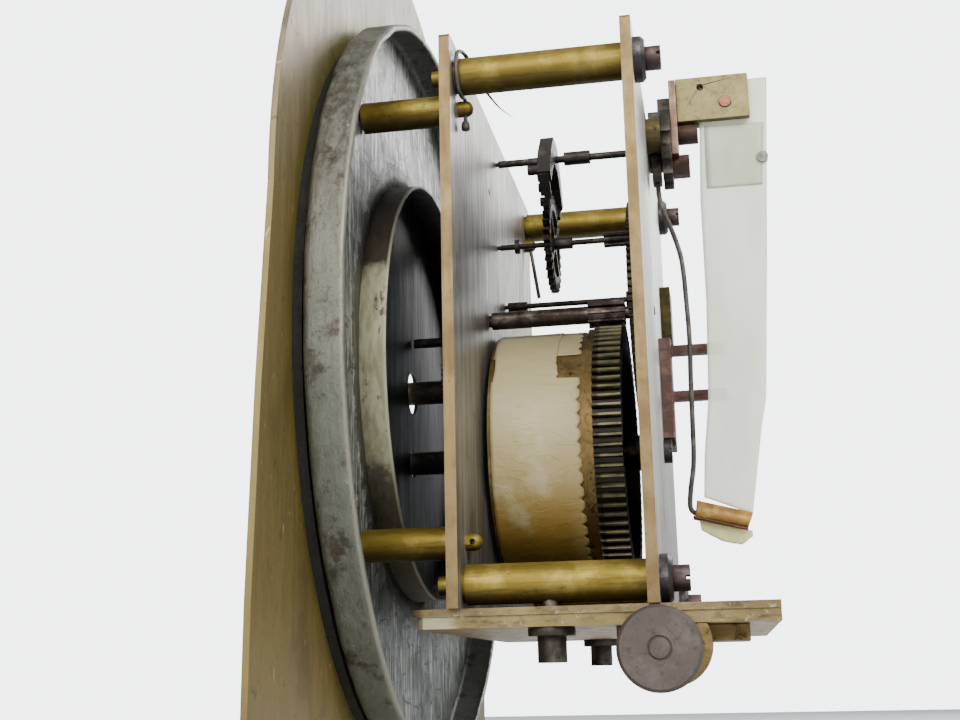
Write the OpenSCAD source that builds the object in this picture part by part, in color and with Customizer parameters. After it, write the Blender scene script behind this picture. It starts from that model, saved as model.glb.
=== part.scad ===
// Spring-driven pendulum clock movement on its dial pan and arched dial mask.
// X runs across the movement, +Y from the dial to the pendulum side, +Z up.
// The origin is on the underside of the seat plate, in the plane of the front plate's dial side.
// Heights named *_h are measured from the top of the seat plate.

/* [Plates] */
// Width of both plates
plate_w = 110.4; // [109:0.2:113]
// Height of both plates
plate_h = 115; // [114.6:0.1:116]
// Thickness of both plates
plate_t = 2.2; // [2:0.05:2.3]
// Clear space between the plates
plate_gap = 34.4; // [34.4:0.1:35.4]
// Radius of the plates' top corners
corner_r = 1; // [1:0.5:6]

/* [Pillars] */
// Distance of the pillars from the centre line
pillar_x = 48.5; // [48.3:0.1:49]
// Height of the top pillars' axes
pillar_top_h = 108; // [107.5:0.1:108.5]
// Height of the bottom pillars' axes
pillar_low_h = 4.6; // [4.4:0.1:5]
// Radius of a pillar
pillar_r = 3.8; // [3.4:0.05:3.9]

/* [Seat plate] */
// Width of the seat plate
seat_w = 107; // [106:0.5:108]
// How far the seat plate reaches in front of the front plate
seat_front = 7.5; // [5:0.25:9]
// Distance of the seat plate's rear end from the front plate
seat_back = 59.9; // [57:0.1:63]
// Thickness of the upper layer
seat_upper_t = 1.4; // [1.2:0.1:2]
// Thickness of the lower layer
seat_lower_t = 2.2; // [2:0.1:3]

/* [Dial side] */
// Height of the dial's centre
dial_h = 52.6; // [52.4:0.1:52.8]
// Outer radius of the dial pan
pan_r = 83.5; // [82:0.5:86]
// Distance of the pan's floor in front of the front plate
pan_depth = 18; // [17.5:0.1:19]
// Height of the pan's rim wall above its floor
pan_wall = 6.3; // [5:0.1:7]
// Radius of the collar round the pan's hole
collar_r = 48; // [46:0.5:50]
// Height of that collar above the floor
collar_l = 4.9; // [3:0.1:6]
// Radius of the mask's arched top
mask_r = 92; // [91:0.5:94]
// Half width of the mask at its lower edge
mask_foot = 101; // [99:0.5:104]
// How far the mask's lower edge lies below the seat plate's top
mask_drop = 51; // [48:1:60]

/* [Wheel train] */
// Height of the barrel arbor
barrel_h = 36; // [36:0.1:36.2]
// Distance of the centre arbor from the centre line
centre_x = 14; // [13.8:0.05:14.2]
// Teeth of the great wheel on the barrel
great_teeth = 88; // [88]
// Module of the great wheel
great_m = 0.67; // [0.67:0.001:0.672]
// Teeth of the centre wheel
centre_teeth = 95; // [95]
// Module of the centre wheel
centre_m = 0.5; // [0.499:0.001:0.501]
// Teeth of the third wheel
third_teeth = 70; // [70]
// Height of the escape arbor
escape_h = 86.7; // [86.6:0.1:87]
// Teeth of the escape wheel
escape_teeth = 30; // [30]
// Outer radius of the escape wheel
escape_r = 11.6; // [11:0.1:11.6]
// Height of the pallet arbor
pallet_h = 107.8; // [107.6:0.1:108]

/* [Hidden] */

// Planes across the movement, along Y
inner_y = plate_t;
back_y = plate_t + plate_gap;
outer_y = back_y + plate_t;
seat_t = seat_upper_t + seat_lower_t;
fit = 0.05;          // radial clearance of a running fit
round_fn = 64;

// Sheet parts of the dial side
sheet_t = 0.8;
mask_t = 1.2;
mask_y = -pan_depth - 4.6;
mask_open_r = 74;
mask_arch_h = 71.5;   // height of the arch's centre
mask_waist = 96.3;    // half width halfway down to the seat plate
mask_hip = 99.3;      // half width at the seat plate's top
dial_r = 79.4;
dial_hole_r = 5;
foot_x = 46;
foot_top_h = 102.0;
foot_low_h = 12.8;
foot_r = 3.2;
tenon_r = 1.65;
pin_lean = 8;

// Pillar ends and screws
pillar_tenon_r = 1.7;
washer_r = 4.6;
washer_t = 2.3;
screw_r = 1.8;
seat_hole_y = 18.4;
seat_washer_t = 1.6;
seat_head_h = 4.8;

// Going barrel
drum_r = 27.6;
drum_y0 = 3.4;
great_y = 25.6;
great_t = 6;
winding_r = 2.65;
core_r = 6.5;

// Train arbors
pinion_leaves = 8;
centre_d = (great_teeth + pinion_leaves) / 2 * great_m;
centre_h = barrel_h + sqrt(centre_d * centre_d - centre_x * centre_x);
third_d = (centre_teeth + pinion_leaves) / 2 * centre_m;
third_dir = 157.6;
third_x = centre_x + third_d * cos(third_dir);
third_h = centre_h + third_d * sin(third_dir);
escape_d = sqrt(third_x * third_x + (escape_h - third_h) * (escape_h - third_h));
third_m = 2 * escape_d / (third_teeth + pinion_leaves);
third_y = 32.9;
centre_wheel_y = 34.6;
thin_wheel_t = 1.0;
arbor_r = 0.65;
pivot_r = 0.5;

// Motion work
drive_teeth = 32;
drive_d = sqrt(centre_x * centre_x + (centre_h - dial_h) * (centre_h - dial_h));
drive_m = drive_d / drive_teeth;
cannon_leaves = 12;
minute_teeth = 30;
minute_d = 12;
minute_m = 2 * minute_d / (cannon_leaves + minute_teeth);
minute_h = dial_h + minute_d;
minute_leaves = 10;
hour_teeth = 48;
hour_m = 2 * minute_d / (minute_leaves + hour_teeth);
motion_y = -5.0;
minute_y = -7.3;
stud_r = 1.2;
pipe_r = 1.9;
hand_r = 1.7;         // seat of the minute hand

// Ratchet work
ratchet_teeth = 24;
ratchet_r = 10.5;
ratchet_y = -3.0;
ratchet_t = 2.0;
click_x = -17.5;
click_h = 41.0;

// Pendulum side
cock_y = 42.1;
cock_t = 2.3;
cock_r = 9.3;
leaf_t = 0.4;
leaf_pivot_h = 117.6;
thumb_y = 38.4;
thumb_z = -4.45;      // height of the thumb screw's axis, from the seat plate's underside
thumb_r = 7.6;
seat_edge = seat_w / 2;

// ---- helpers ----
// Stands children up so that their Z becomes +Y, at height h above the seat plate
module along_y(x, h, y) translate([x, y, seat_t + h]) rotate([-90, 0, 0]) children();
module rod_y(x, h, y0, y1, r) along_y(x, h, y0) cylinder(h = y1 - y0, r = r, $fn = round_fn);
// A flat sheet drawn in X and height, reaching from y0 to y0 + t
module sheet_xh(y0, t) translate([0, y0 + t, seat_t]) rotate([90, 0, 0]) linear_extrude(height = t) children();
// A flat sheet drawn in Y and height, reaching from x0 to x0 + t
module sheet_yh(x0, t) translate([x0, 0, seat_t]) rotate([90, 0, 90]) linear_extrude(height = t) children();
// A ring turned round an axis along Y
module ring_y(x, h, y0, y1, r_out, r_in) {
  difference() {
    rod_y(x, h, y0, y1, r_out);
    rod_y(x, h, y0 - 1, y1 + 1, r_in);
  }
}

function polar(r, a) = [r * cos(a), r * sin(a)];
// Six points of one tooth: root, pitch circle and tip, up one side and down the other
function tooth(a, step, rr, rp, rt, wr, wp, wt) = [
  polar(rr, a - wr * step), polar(rp, a - wp * step), polar(rt, a - wt * step),
  polar(rt, a + wt * step), polar(rp, a + wp * step), polar(rr, a + wr * step)];
function wheel_points(n, m) = [for (i = [0 : n - 1])
  each tooth(i * 360 / n, 360 / n, n * m / 2 - 1.2 * m, n * m / 2, n * m / 2 + 0.7 * m, 0.284, 0.21, 0.105)];
function pinion_points(n, m) = [for (i = [0 : n - 1])
  each tooth(i * 360 / n, 360 / n, n * m / 2 - 1.15 * m, n * m / 2, n * m / 2 + 0.5 * m, 0.162, 0.18, 0.099)];
// Direction from one arbor to another, as turned by along_y
function toward(x0, h0, x1, h1) = atan2(h0 - h1, x1 - x0);

module gear_wheel(x, h, y, t, n, m, phase) along_y(x, h, y) rotate([0, 0, phase])
  linear_extrude(height = t) polygon(wheel_points(n, m));
module gear_pinion(x, h, y, t, n, m, phase) along_y(x, h, y) rotate([0, 0, phase])
  linear_extrude(height = t) polygon(pinion_points(n, m));
// Crossed-out wheel: toothed rim, arms and hub, with a bore for its arbor
module crossed_wheel(x, h, y, t, n, m, phase, arms, rim, hub_r, arm_w, bore_r) {
  root_r = n * m / 2 - 1.2 * m;
  difference() {
    union() {
      difference() {
        gear_wheel(x, h, y, t, n, m, phase);
        rod_y(x, h, y - 1, y + t + 1, root_r - rim);
      }
      rod_y(x, h, y, y + t, hub_r);
      for (k = [0 : arms - 1])
        along_y(x, h, y) rotate([0, 0, 360 / arms * k + 20])
          translate([hub_r / 2, -arm_w / 2, 0]) cube([root_r - rim / 2 - hub_r / 2, arm_w, t]);
    }
    rod_y(x, h, y - 1, y + t + 1, bore_r);
  }
}

// A wire through the points p, as one closed tube of rings of the radii r; it never runs along "across"
function unit(v) = v / norm(v);
function tangent(p, i) = unit(p[min(i + 1, len(p) - 1)] - p[max(i - 1, 0)]);
function ring_at(p, i, r, n, across) = let (t = tangent(p, i), u = unit(cross(t, across)), v = cross(t, u))
  [for (k = [0 : n - 1]) p[i] + r[i] * (cos(360 / n * k) * u + sin(360 / n * k) * v)];
module wire(p, r, across) {
  n = 10;
  last = len(p) - 1;
  rings = [for (i = [0 : last]) each ring_at(p, i, r, n, across)];
  sides = [for (i = [0 : last - 1], k = [0 : n - 1])
    [i * n + k, (i + 1) * n + k, (i + 1) * n + (k + 1) % n, i * n + (k + 1) % n]];
  polyhedron(points = rings,
    faces = concat([[for (k = [0 : n - 1]) k]], sides, [[for (k = [n - 1 : -1 : 0]) last * n + k]]));
}
// A route drawn by hand in Y and height, in the plane x
function route_yh(x, q) = [for (v = q) [x, v[0], v[1] + seat_t]];

// ---- dial side ----
module dial_mask() color("darkkhaki") sheet_xh(mask_y, mask_t) difference() {
  union() {
    translate([0, mask_arch_h]) circle(r = mask_r, $fn = round_fn);
    for (s = [0, 1]) mirror([s, 0, 0])
      polygon([[0, -mask_drop], [mask_foot, -mask_drop], [mask_hip, 0], [mask_waist, mask_arch_h / 2],
               [mask_r, mask_arch_h], [0, mask_arch_h]]);
  }
  translate([0, dial_h]) circle(r = mask_open_r, $fn = round_fn);
}

// The ring sits a little low, so its rim stands further out under the dial than over it
module dial_spacer_ring() color("black") difference() {
  rod_y(0, dial_h - 1.5, mask_y + mask_t, -pan_depth - 2 * sheet_t, dial_r + 2.1);
  rod_y(0, dial_h, mask_y, -pan_depth, mask_open_r + 1);
}

module dial_plate() color("black") difference() {
  rod_y(0, dial_h, -pan_depth - 2 * sheet_t, -pan_depth - sheet_t, dial_r);
  rod_y(0, dial_h, -pan_depth - 3, -pan_depth, dial_hole_r);
  rod_y(0, barrel_h, -pan_depth - 3, -pan_depth, winding_r + 0.6);
}

module dial_pan() color("gray") along_y(0, dial_h, -pan_depth) rotate_extrude($fn = round_fn)
  polygon([[collar_r + 0.05, -sheet_t], [pan_r, -sheet_t], [pan_r, pan_wall], [pan_r - sheet_t, pan_wall],
           [pan_r - sheet_t, 0], [collar_r + 0.05, 0]]);

module pan_collar() color("tan")
  ring_y(0, dial_h, -pan_depth - sheet_t, -pan_depth + collar_l, collar_r, collar_r - sheet_t);

module dial_feet() color("goldenrod") for (x = [-foot_x, foot_x], h = [foot_low_h, foot_top_h])
  difference() {
    union() {
      rod_y(x, h, -pan_depth, 0, foot_r);
      rod_y(x, h, -0.01, inner_y + 1.5, tenon_r);
      along_y(x, h, inner_y + 1.5) scale(tenon_r) sphere(r = 1, $fn = 32);
    }
    translate([x, inner_y + 1.4, seat_t + h])
      rotate([x < 0 && h > dial_h ? pin_lean : 0, x > 0 && h < dial_h ? 90 : 0, 0])
      cylinder(h = 10, r = 0.55, $fn = round_fn, center = true);
  }

// Plain pins stand in the cross holes of the two feet on the left; the upper one leans
module foot_taper_pins() color("dimgray") {
  translate([-foot_x, inner_y + 1.4, seat_t + foot_top_h]) rotate([pin_lean, 0, 0]) translate([0, 0, -15])
    cylinder(h = 17.2, r = 0.5, $fn = round_fn);
  translate([-foot_x, inner_y + 1.4, seat_t + foot_low_h - 2.2]) cylinder(h = 12, r = 0.5, $fn = round_fn);
}

// The pin at the top right is a bent wire looped round the pillar, with a ball at one end and a point at the other
wire_pin_route = [[-2.5, 3.6, -10.6], [-2.5, 3.6, -8], [-2.5, 3.6, -5.7], [-2.5, 3.6, -4.2], [-1.6, 3.55, -3.98],
  [0.6, 3.4, -4.4], [3.2, 3.2, -3.5], [4.6, 3.2, -1.1], [4.7, 3.2, 1.6], [3.4, 3.3, 4.0], [0.8, 3.8, 5.2],
  [-2.2, 4.4, 5.0], [-4.6, 5.2, 3.2], [-5.9, 6.6, 0.6], [-6.2, 8.2, -2.0], [-5.6, 10.4, -5.1], [-4.3, 13.4, -8.2]];
wire_pin_radii = [for (i = [0 : 16]) i < 13 ? 0.42 : 0.42 - 0.095 * (i - 12)];
module foot_wire_pin() color("dimgray") translate([pillar_x, 0, seat_t + pillar_top_h]) {
  wire(wire_pin_route, wire_pin_radii, [0, 1, 0]);
  translate([-2.5, 3.6, -11.1]) sphere(r = 0.95, $fn = 24);
}

// ---- plates and pillars ----
module plate_outline() difference() {
  translate([-plate_w / 2, 0]) square([plate_w, plate_h]);
  for (s = [-1, 1]) translate([s * plate_w / 2, plate_h]) difference() {
    square(2 * corner_r, center = true);
    translate([-s * corner_r, -corner_r]) circle(r = corner_r, $fn = round_fn);
  }
}
module hole_xh(x, h, r) translate([x, h]) circle(r = r, $fn = round_fn);

module front_plate() color("silver") sheet_xh(0, plate_t) difference() {
  plate_outline();
  for (x = [-pillar_x, pillar_x], h = [pillar_low_h, pillar_top_h]) hole_xh(x, h, pillar_tenon_r);
  for (x = [-foot_x, foot_x], h = [foot_low_h, foot_top_h]) hole_xh(x, h, tenon_r);
  hole_xh(0, barrel_h, winding_r + fit);
  hole_xh(centre_x, centre_h, 1.3 + fit);
  hole_xh(third_x, third_h, pivot_r + fit);
  hole_xh(0, escape_h, pivot_r + fit);
  hole_xh(0, pallet_h, pivot_r + fit);
  hole_xh(10.5, 97, 0.9);
  hole_xh(0, dial_h, 1.0);
  hole_xh(0, minute_h, 1.0);
  hole_xh(click_x, click_h, 1.0);
}

module back_plate() color("silver") sheet_xh(back_y, plate_t) difference() {
  plate_outline();
  for (x = [-pillar_x, pillar_x], h = [pillar_low_h, pillar_top_h]) hole_xh(x, h, screw_r + 0.2);
  hole_xh(0, barrel_h, winding_r + fit);
  hole_xh(centre_x, centre_h, 1.0 + fit);
  hole_xh(third_x, third_h, pivot_r + fit);
  hole_xh(0, escape_h, pivot_r + fit);
  hole_xh(0, pallet_h, 2.2);
}

module pillar(x, h) color("olive") difference() {
  union() {
    rod_y(x, h, inner_y + 0.6, back_y, pillar_r);
    rod_y(x, h, inner_y, inner_y + 0.61, pillar_r - 0.5);
    rod_y(x, h, -2.6, inner_y + 0.1, pillar_tenon_r);
  }
  rod_y(x, h, back_y - 8, back_y + 1, screw_r + fit);
  if (h < plate_h / 2) translate([x, seat_hole_y, seat_t - 1]) cylinder(h = pillar_low_h + 1, r = 1.95, $fn = round_fn);
}
module pillar_top_right() pillar(pillar_x, pillar_top_h);
module pillar_top_left() pillar(-pillar_x, pillar_top_h);
module pillar_bottom_right() pillar(pillar_x, pillar_low_h);
module pillar_bottom_left() pillar(-pillar_x, pillar_low_h);

// Thick washers with a turned bevel
module pillar_washers() color("dimgray") for (x = [-pillar_x, pillar_x], h = [pillar_low_h, pillar_top_h])
  along_y(x, h, outer_y) rotate_extrude($fn = round_fn)
    polygon([[screw_r + 0.2, 0], [washer_r, 0], [washer_r, washer_t - 0.7], [washer_r - 0.7, washer_t],
             [screw_r + 0.2, washer_t]]);

module pillar_screws() color("saddlebrown") for (x = [-pillar_x, pillar_x], h = [pillar_low_h, pillar_top_h])
  difference() {
    union() {
      rod_y(x, h, back_y - 7, outer_y + washer_t + 0.1, screw_r);
      rod_y(x, h, outer_y + washer_t, outer_y + washer_t + 3.1, 2.45);
    }
    along_y(x, h, outer_y + washer_t + 2.3) translate([-3, -0.35, 0]) cube([6, 0.7, 2]);
  }

// ---- seat plate ----
module seat_outline(front, back, r) difference() {
  translate([-seat_edge, -front]) square([seat_w, front + back]);
  for (s = [-1, 1]) translate([s * seat_edge, -front]) difference() {
    square(2 * r, center = true);
    translate([-s * r, r]) circle(r = r, $fn = round_fn);
  }
  for (s = [-1, 1]) translate([s * pillar_x, seat_hole_y]) circle(r = 2.2, $fn = round_fn);
}
module seat_plate_upper() color("peru") translate([0, 0, seat_lower_t])
  linear_extrude(height = seat_upper_t) seat_outline(seat_front, seat_back, 3);
module seat_plate_lower() color("peru") linear_extrude(height = seat_lower_t) intersection() {
  seat_outline(seat_front - 1, seat_back, 3);
  translate([-seat_edge + 0.35, -seat_front]) square([seat_w - 0.7, 2 * seat_back]);
}

module seat_screws() color("dimgray") for (s = [-1, 1]) translate([s * pillar_x, seat_hole_y, 0])
  difference() {
    union() {
      translate([0, 0, -seat_washer_t - seat_head_h]) cylinder(h = seat_head_h, r = 2.7, $fn = round_fn);
      translate([0, 0, -2]) cylinder(h = seat_t + 5, r = 1.85, $fn = round_fn);
    }
    translate([-0.4, -3.5, -seat_washer_t - seat_head_h - 0.7]) cube([0.8, 7, 1.6]);
  }
module seat_washers() color("dimgray") for (s = [-1, 1])
  translate([s * pillar_x, seat_hole_y, -seat_washer_t]) difference() {
    cylinder(h = seat_washer_t, r = 4.4, $fn = round_fn);
    translate([0, 0, -1]) cylinder(h = 4, r = 2.0, $fn = round_fn);
  }

// Lug under the seat plate, tapped along X for the thumb screw
module seat_lug() color("darkgoldenrod") difference() {
  union() {
    translate([30, 30, -3.1]) cube([15, 24.4, 3.1]);
    intersection() {
      translate([44, thumb_y + 1.6, thumb_z + 0.9]) rotate([0, 90, 0])
        cylinder(h = seat_edge - 44.6, r = 7.6, $fn = round_fn);
      translate([40, thumb_y - 12, -20]) cube([20, 24, 20]);
    }
  }
  translate([20, thumb_y, thumb_z]) rotate([0, 90, 0]) cylinder(h = 40, r = 2.55, $fn = round_fn);
}
module thumb_screw() color("rosybrown") translate([0, thumb_y, thumb_z]) rotate([0, 90, 0])
  rotate_extrude($fn = round_fn)
    polygon([[0, 31], [2.2, 31], [2.5, 31.3], [2.5, seat_edge + 0.5], [thumb_r - 0.5, seat_edge + 0.5],
             [thumb_r, seat_edge + 1], [thumb_r, seat_edge + 4.2], [thumb_r - 0.6, seat_edge + 4.8],
             [2.3, seat_edge + 4.8], [2.0, seat_edge + 4.5], [1.7, seat_edge + 4.8], [0, seat_edge + 4.8]]);

// ---- going barrel ----
module barrel_drum() color("goldenrod") along_y(0, barrel_h, drum_y0) rotate_extrude($fn = round_fn)
  polygon([[drum_r - 1.2, 0], [drum_r, 0], [drum_r, 20.6], [28.4, 20.6], [28.4, 22.2], [winding_r + fit, 22.2],
           [winding_r + fit, 21], [drum_r - 1.2, 21]]);
module barrel_cap() color("goldenrod")
  ring_y(0, barrel_h, drum_y0 + 0.2, drum_y0 + 1.2, drum_r - 1.22, winding_r + fit);
module barrel_film() color("wheat")
  ring_y(0, barrel_h, drum_y0 + 0.5, drum_y0 + 19.8, drum_r + 0.45, drum_r + 0.02);
module great_wheel() color("dimgray") difference() {
  gear_wheel(0, barrel_h, great_y, great_t, great_teeth, great_m, toward(0, barrel_h, centre_x, centre_h));
  rod_y(0, barrel_h, great_y + 1.6, great_y + great_t + 1, 25);
  rod_y(0, barrel_h, great_y - 1, great_y + 3, winding_r + fit);
}
// Coiled strip: outer edge out along the spiral, inner edge back
spring_turns = 7;
function spring_r(u) = core_r + 1.2 + u * (drum_r - 4.2 - core_r) / (360 * spring_turns);
module mainspring() color("slategray") along_y(0, barrel_h, 6) linear_extrude(height = 16)
  polygon(concat([for (u = [0 : 20 : 360 * spring_turns]) polar(spring_r(u) + 0.35, u)],
                 [for (u = [360 * spring_turns : -20 : 0]) polar(spring_r(u), u)]));

// ---- winding arbor, ratchet and click ----
module winding_arbor() color("dimgray") difference() {
  union() {
    rod_y(0, barrel_h, -24, outer_y + 1.8, winding_r);
    rod_y(0, barrel_h, 5, 23.8, core_r);
    rod_y(0, barrel_h, 32.6, back_y - 0.3, 4);
    along_y(0, barrel_h, -31) translate([-1.8, -1.8, 0]) cube([3.6, 3.6, 7.1]);
  }
  along_y(0, barrel_h, outer_y + 1.2) translate([-4, -0.4, 0]) cube([8, 0.8, 2]);
}
// Saw teeth: each has one steep and one long flank
module ratchet_wheel() color("slategray") difference() {
  along_y(0, barrel_h, ratchet_y) linear_extrude(height = ratchet_t)
    polygon([for (i = [0 : ratchet_teeth - 1]) each
      [polar(ratchet_r, i * 360 / ratchet_teeth), polar(ratchet_r - 1.5, i * 360 / ratchet_teeth + 1)]]);
  rod_y(0, barrel_h, ratchet_y - 1, ratchet_y + ratchet_t + 1, winding_r);
}
click_reach = 8.4;
module click() color("slategray") difference() {
  union() {
    rod_y(click_x, click_h, ratchet_y, ratchet_y + ratchet_t, 2.6);
    sheet_xh(ratchet_y, ratchet_t) polygon([[click_x + 1.5, click_h - 2.2], [click_x + 1.8, click_h + 1.9],
      [click_x + click_reach - 1.2, click_h + 0.2], [click_x + click_reach - 0.9, click_h - 0.9]]);
    sheet_xh(ratchet_y, ratchet_t) polygon([[click_x - 1.9, click_h - 1.6], [click_x - 1.2, click_h + 2.2],
      [click_x - 5.8, click_h + 3.4], [click_x - 6.2, click_h + 2.0]]);
  }
  rod_y(click_x, click_h, ratchet_y - 1, ratchet_y + ratchet_t + 1, 1.3 + fit);
}
module click_screw() color("dimgray") {
  rod_y(click_x, click_h, -3.2, 0, 1.3);
  rod_y(click_x, click_h, -0.1, inner_y, 1.0);
  rod_y(click_x, click_h, -4.2, -3.19, 2.4);
}
// Flat spring standing on the plate below the click's tail
module click_spring() color("slategray") sheet_xh(ratchet_y + 0.4, 1.2)
  polygon([[-31, 26], [-29.8, 26], [-24.6, 42.2], [-24.6, 43.0], [-25.2, 43.0], [-30.4, 28]]);

// ---- centre arbor, third arbor, escape arbor ----
module centre_arbor() color("saddlebrown") union() {
  rod_y(centre_x, centre_h, 2.9, 24.5, 1.95);
  gear_pinion(centre_x, centre_h, 24.4, 8.1, pinion_leaves, great_m,
    toward(centre_x, centre_h, 0, barrel_h) + 180 / pinion_leaves);
  rod_y(centre_x, centre_h, 24.4, 36.0, 1.4);
  rod_y(centre_x, centre_h, 35.9, outer_y + 0.2, 1.0);
  rod_y(centre_x, centre_h, -6.2, 3.0, 1.3);
}
module centre_wheel() color("darkgoldenrod") crossed_wheel(centre_x, centre_h, centre_wheel_y, thin_wheel_t,
  centre_teeth, centre_m, toward(centre_x, centre_h, third_x, third_h), 5, 2.4, 4, 2.2, 1.4);
module motion_drive_wheel() color("darkgoldenrod") crossed_wheel(centre_x, centre_h, motion_y, 1.4,
  drive_teeth, drive_m, toward(centre_x, centre_h, 0, dial_h), 4, 1.6, 2.8, 1.6, 1.3);

module third_arbor() color("dimgray") union() {
  rod_y(third_x, third_h, 2.9, back_y - 0.2, arbor_r);
  rod_y(third_x, third_h, inner_y - 2.1, back_y + 2.2, pivot_r);
  rod_y(third_x, third_h, 2.9, 7.5, 1.1);
  gear_pinion(third_x, third_h, 34.2, 2.0, pinion_leaves, centre_m,
    toward(third_x, third_h, centre_x, centre_h) + 180 / pinion_leaves);
  rod_y(third_x, third_h, 31.4, third_y, 1.9);
}
module third_wheel() color("darkgoldenrod") crossed_wheel(third_x, third_h, third_y, thin_wheel_t,
  third_teeth, third_m, toward(third_x, third_h, 0, escape_h), 4, 1.6, 2.4, 1.5, arbor_r);

module escape_arbor() color("dimgray") union() {
  rod_y(0, escape_h, 2.9, back_y - 0.2, arbor_r);
  rod_y(0, escape_h, inner_y - 2.1, back_y + 2.2, pivot_r);
  rod_y(0, escape_h, 6.4, 7.6, 1.7);
  rod_y(0, escape_h, 16.0, 20, 1.4);
  gear_pinion(0, escape_h, 27.4, 7.0, pinion_leaves, third_m,
    toward(0, escape_h, third_x, third_h) + 180 / pinion_leaves);
}
// Thin leaning teeth, four arms
module escape_wheel() color("darkgoldenrod") {
  rim_r = escape_r - 2.4;
  step = 360 / escape_teeth;
  difference() {
    along_y(0, escape_h, 14.4) linear_extrude(height = 1.6) polygon([for (i = [0 : escape_teeth - 1]) each
      [polar(escape_r, i * step), polar(escape_r, i * step + 0.8), polar(rim_r, i * step + 4), polar(rim_r, i * step + 9)]]);
    rod_y(0, escape_h, 13, 18, rim_r - 1.3);
  }
  difference() {
    union() {
      rod_y(0, escape_h, 14.4, 16, 2.2);
      for (k = [0 : 3]) along_y(0, escape_h, 14.4) rotate([0, 0, 45 + 90 * k])
        translate([1.5, -0.6, 0]) cube([rim_r - 2.2, 1.2, 1.6]);
    }
    rod_y(0, escape_h, 13, 18, arbor_r);
  }
}

// ---- pallets and crutch ----
module pallet_arbor() color("dimgray") union() {
  rod_y(0, pallet_h, 2.9, cock_y - 0.2, 0.85);
  rod_y(0, pallet_h, inner_y - 2.1, cock_y + cock_t, pivot_r);
  rod_y(0, pallet_h, 18.8, 25, 1.6);
  rod_y(0, pallet_h, 39.5, 41.8, 1.7);
  // Arm that holds the crutch
  translate([-1.8, 39.6, seat_t + pallet_h - 8.4]) cube([3.6, 2.1, 8.2]);
}
// Anchor outline, right half, relative to the pallet arbor
anchor_half = [[0, 4.6], [3.6, 4.3], [9.2, -1.2], [12.6, -7.6], [10.2, -9.3], [6.6, -5.0], [2.8, -2.2], [0, -2.0]];
pallet_angle = 42;
module pallet_anchor() color("slategray") {
  difference() {
    sheet_xh(13.6, 3.2) translate([0, pallet_h]) for (s = [0, 1]) mirror([s, 0, 0]) polygon(anchor_half);
    rod_y(0, pallet_h, 12, 18, 0.85);
  }
  // Steel nibs reaching down towards the escape wheel
  for (s = [-1, 1]) along_y(0, escape_h, 14.0) rotate([0, 0, -90 + s * pallet_angle])
    translate([escape_r + 0.85, -0.6, 0]) cube([5.4, 1.2, 2.4]);
}
module pallet_screws() color("slategray") for (s = [-1, 1], q = [[10.6, -6.4], [8.2, -3.6]])
  rod_y(s * q[0], pallet_h + q[1], 11.4, 13.6, 1.15);

crutch_route = [[40.7, 101.6], [40.7, 98.5], [40.9, 95.7], [41.6, 92.5], [43.0, 88.6], [44.2, 84.6], [45.0, 81.0],
  [45.4, 76.6], [45.6, 71.0], [45.8, 64.6], [45.8, 59.2], [45.6, 53.0], [45.5, 47.4], [45.4, 41.4], [45.3, 36.2],
  [45.0, 32.0], [44.3, 28.0], [43.9, 25.0], [43.9, 23.2], [44.5, 22.2], [45.6, 21.9], [49.8, 21.9]];
module crutch() color("dimgray") wire(route_yh(0, crutch_route), [for (q = crutch_route) 0.57], [1, 0, 0]);

// ---- back cock and suspension ----
module back_cock() color("dimgray") difference() {
  union() {
    rod_y(0, pallet_h, cock_y, cock_y + cock_t, cock_r);
    // Stepped lug over the pallet arbor
    translate([-2.5, cock_y - 0.6, seat_t + pallet_h + 7.5]) cube([5, cock_t + 0.6, 4.6]);
    translate([-2.5, outer_y + 0.4, seat_t + pallet_h + 6]) cube([5, cock_y - outer_y, 2.9]);
  }
  rod_y(0, pallet_h, cock_y - 1, cock_y + cock_t + 1, pivot_r + fit);
  for (a = [5 : 40 : 165])
    along_y(0, pallet_h, cock_y - 1) rotate([0, 0, a]) translate([cock_r + 0.5, 0, 0])
      cylinder(h = cock_t + 2, r = 2.0, $fn = round_fn);
}
module cock_posts() color("olive") for (s = [-1, 1]) rod_y(s * 6.4, pallet_h + 1.2, outer_y, cock_y, 4);
// A hexagonal nut and a slotted screw hold the bracket on the cock
module cock_fasteners() color("saddlebrown") {
  along_y(0, pallet_h - 4.5, cock_y + cock_t) cylinder(h = 3.9, r = 2.8, $fn = 6);
  difference() {
    rod_y(0, pallet_h + 3.4, block_y0, block_y0 + 4.6, 2.35);
    along_y(0, pallet_h + 3.4, block_y0 + 3.9) translate([-0.35, -3, 0]) cube([0.7, 6, 2]);
  }
}
module suspension_bracket() color("tan") difference() {
  sheet_xh(cock_y + cock_t, 1.6) translate([-5, 104.7]) square([10, 18.5]);
  rod_y(0, pallet_h, cock_y, cock_y + 6, 1.4);
  // Seat of the hexagonal nut
  along_y(0, pallet_h - 4.5, cock_y) cylinder(h = 8, r = 2.8, $fn = 6);
}
block_y0 = cock_y + cock_t + 1.6;
block_y1 = 62.8;
module suspension_block() color("darkgoldenrod") difference() {
  translate([-2.5, block_y0, seat_t + 113.6]) cube([5, block_y1 - block_y0, 10.8]);
  translate([-0.55, 50.2, seat_t + 112]) cube([1.1, 20, 14]);
  translate([-5, 51.7, seat_t + 121.8]) rotate([0, 90, 0]) cylinder(h = 10, r = 0.75, $fn = round_fn);
  translate([-5, 57.3, seat_t + leaf_pivot_h]) rotate([0, 90, 0]) cylinder(h = 10, r = 1.3, $fn = round_fn);
}
module suspension_pin() color("chocolate") translate([-2.9, 57.3, seat_t + leaf_pivot_h]) rotate([0, 90, 0])
  cylinder(h = 5.8, r = 1.3, $fn = round_fn);

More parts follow.
